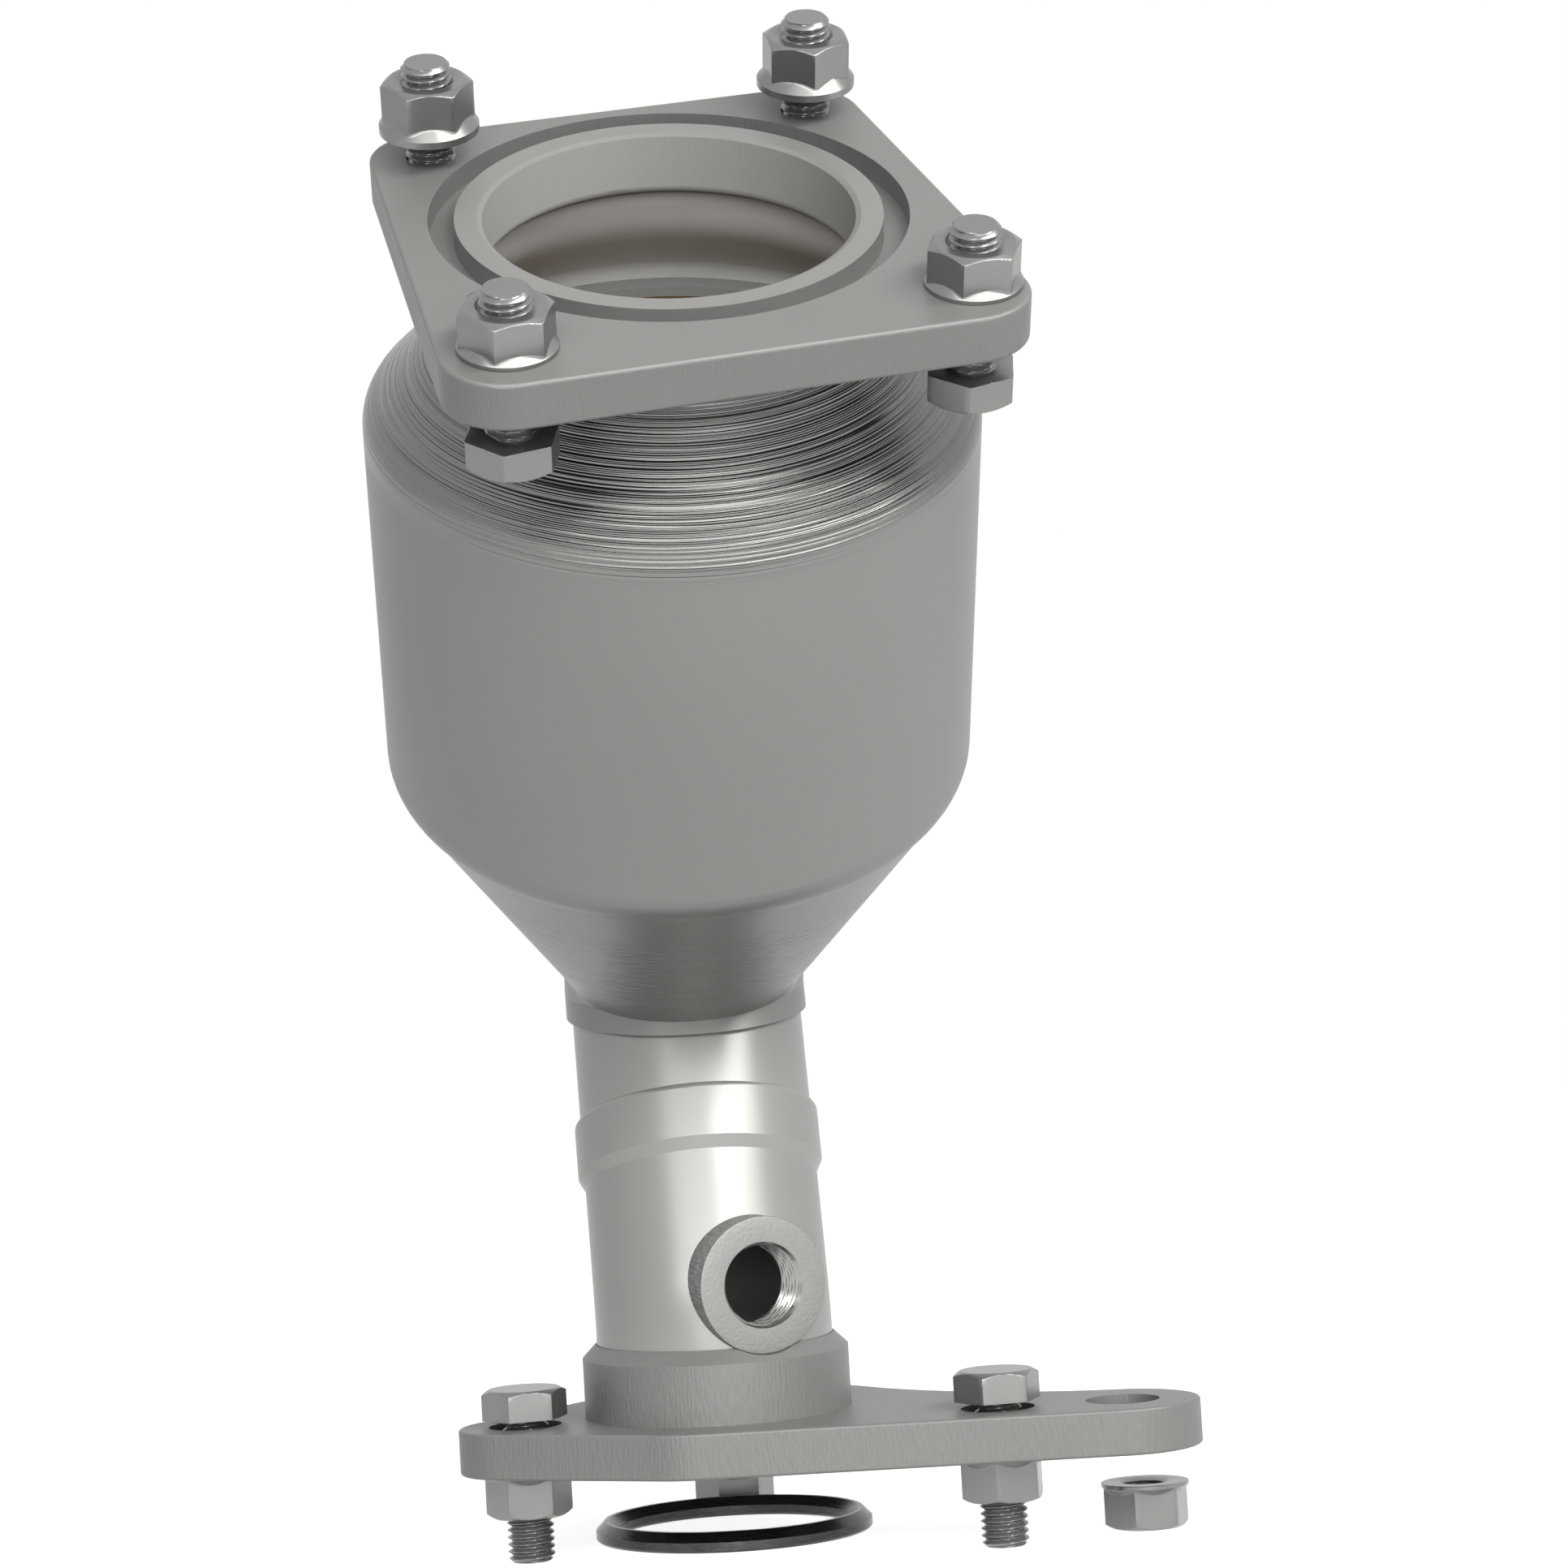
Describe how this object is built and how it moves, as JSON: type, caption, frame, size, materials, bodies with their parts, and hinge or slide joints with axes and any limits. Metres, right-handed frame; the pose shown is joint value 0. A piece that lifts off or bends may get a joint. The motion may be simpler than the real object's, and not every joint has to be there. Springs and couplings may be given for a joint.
{
  "type": "catalytic converter",
  "caption": "Catalytic converter: a tilted round can under a bolted inlet flange, a bent outlet pipe with a sensor boss, and a lobed outlet flange with its fasteners and gasket ring.",
  "frame": {"origin": "centre of the outlet flange's mating face, on the axis of its bore", "axes": "+Z along the outlet flange's normal, towards the converter; +X along that flange's straight front edge; +Y away from that edge"},
  "size_m": [0.1626, 0.2202, 0.3165],
  "materials": {
    "can_steel": "stamped and spun steel, satin, with fine rings",
    "flange_steel": "cast and blasted steel, matte",
    "fastener_steel": "plated steel, satin",
    "catalyst_ceramic": "washcoated ceramic honeycomb, matte",
    "mat_fibre": "ceramic fibre mat",
    "seal_mesh": "pressed wire mesh",
    "gasket_iron": "graphite-faced ring, satin"
  },
  "bodies": {
    "root": {"can_shell": "can_steel", "catalyst_brick": "catalyst_ceramic", "gasket_ring": "gasket_iron", "inlet_bolt_left": "fastener_steel", "inlet_bolt_right": "fastener_steel", "inlet_flange": "flange_steel", "inlet_neck": "flange_steel", "inlet_nut_left": "fastener_steel", "inlet_nut_right": "fastener_steel", "inlet_stud_left": "fastener_steel", "inlet_stud_right": "fastener_steel", "lower_cone": "can_steel", "lower_mat_seal": "seal_mesh", "outlet_bolt_back": "fastener_steel", "outlet_bolt_left": "fastener_steel", "outlet_bolt_right": "fastener_steel", "outlet_flange": "flange_steel", "outlet_nut_back": "fastener_steel", "outlet_nut_left": "fastener_steel", "outlet_nut_right": "fastener_steel", "outlet_pipe": "can_steel", "outlet_socket": "flange_steel", "sensor_bung": "flange_steel", "spare_nut": "fastener_steel", "stud_nut_left": "fastener_steel", "stud_nut_right": "fastener_steel", "support_mat": "mat_fibre", "upper_mat_seal": "seal_mesh", "upper_pipe": "can_steel"}
  },
  "joints": []
}
